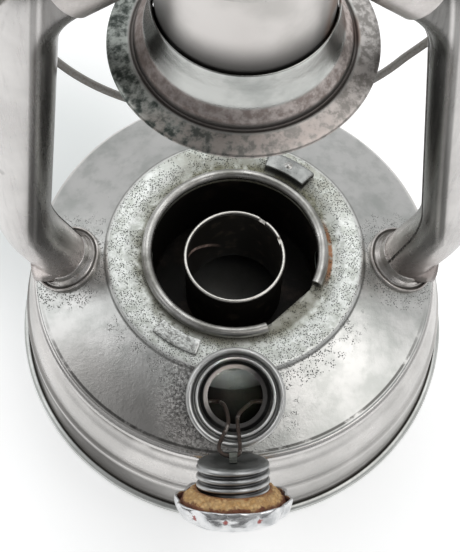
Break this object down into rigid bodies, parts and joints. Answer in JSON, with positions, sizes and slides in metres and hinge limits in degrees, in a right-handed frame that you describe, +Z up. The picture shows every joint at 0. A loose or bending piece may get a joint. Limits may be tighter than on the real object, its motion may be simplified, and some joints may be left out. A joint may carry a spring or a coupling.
{
  "type": "hurricane lantern",
  "caption": "Tubular hurricane lantern body: round stepped oil tank with a screw filler cap on a wire, leaning air tubes, sliding hood under a vented crown, and a swinging wire bail.",
  "frame": {"origin": "centre of the tank's foot bead, on the surface the lantern stands on", "axes": "+Z up along the lantern's axis, -Y towards the filler (the front), X across the side tubes"},
  "size_m": [0.151, 0.1702, 0.2385],
  "materials": {
    "tank_pan": "satin tinned sheet, aged",
    "tank_wall": "satin tinned sheet, aged",
    "tank_top": "satin tinned sheet, aged",
    "chamber": "satin tinned sheet, aged",
    "socket": "satin tinned sheet, aged",
    "collar": "satin tinned sheet, aged",
    "tab": "dull pressed sheet",
    "filler": "satin tinned sheet, aged",
    "cap_shell": "bright spun aluminium",
    "gasket": "matte pressed cork and rubber sealing washer",
    "plug": "satin tinned sheet, aged",
    "staple": "satin tinned sheet, aged",
    "wire": "satin tinned sheet, aged",
    "tubes": "satin tinned sheet, aged",
    "foot_rings": "satin tinned sheet, aged",
    "arms": "satin tinned sheet, aged",
    "rivets": "satin tinned sheet, aged",
    "ears": "satin tinned sheet, aged",
    "bail": "satin tinned sheet, aged",
    "crown": "satin tinned sheet, aged",
    "hood": "satin tinned sheet, aged",
    "chimney": "satin tinned sheet, aged",
    "spring": "satin tinned sheet, aged",
    "canopy": "satin tinned sheet, aged",
    "lift": "satin tinned sheet, aged"
  },
  "bodies": {
    "tank": {"tank_bottom": "tank_pan", "tank_wall": "tank_wall", "tank_top": "tank_top", "chamber_drum": "chamber", "burner_socket": "socket", "collar_ring": "collar", "catch_tab": "tab", "rest_pad": "tab", "filler_neck": "filler", "left_tube": "tubes", "right_tube": "tubes", "left_foot_ring": "foot_rings", "right_foot_ring": "foot_rings", "left_arm": "arms", "right_arm": "arms", "arm_rivets": "rivets", "bail_ears": "ears", "crown_tube": "crown", "crown_plate": "crown", "hood_spring": "spring"},
    "cap_wire": {"cap_wire": "wire"},
    "cap": {"cap_shell": "cap_shell", "cap_gasket": "gasket", "cap_plug": "plug", "cap_staple": "staple"},
    "hood": {"hood": "hood", "hood_plate": "chimney", "inner_chimney": "chimney", "canopy": "canopy", "canopy_ring": "canopy", "lift_eye": "lift"},
    "lift_ring": {"lift_ring": "lift"},
    "bail": {"bail": "bail"}
  },
  "joints": [
    {"name": "bail_swing", "type": "hinge", "parent": "tank", "child": "bail", "pos_m": [0, 0, 0.18652], "axis": [1, 0, 0], "range_deg": [0, 262]},
    {"name": "hood_lift", "type": "slide", "parent": "tank", "child": "hood", "axis": [0, 0, 1], "range_m": [0, 0.006], "stiffness_N_per_m": 250, "springref_m": -0.012, "deforming": ["hood_spring"]},
    {"name": "wire_swing", "type": "hinge", "parent": "tank", "child": "cap_wire", "pos_m": [0, -0.04714, 0.04226], "axis": [-1, 0, 0], "range_deg": [0, 20]},
    {"name": "cap_swing", "type": "hinge", "parent": "cap_wire", "child": "cap", "pos_m": [-0.001, -0.06964, 0.05747], "axis": [-1, 0, 0], "range_deg": [0, 60]},
    {"name": "lift_ring_swing", "type": "hinge", "parent": "hood", "child": "lift_ring", "pos_m": [0, 0, 0.23527], "axis": [0, -1, 0], "range_deg": [0, 180]}
  ]
}
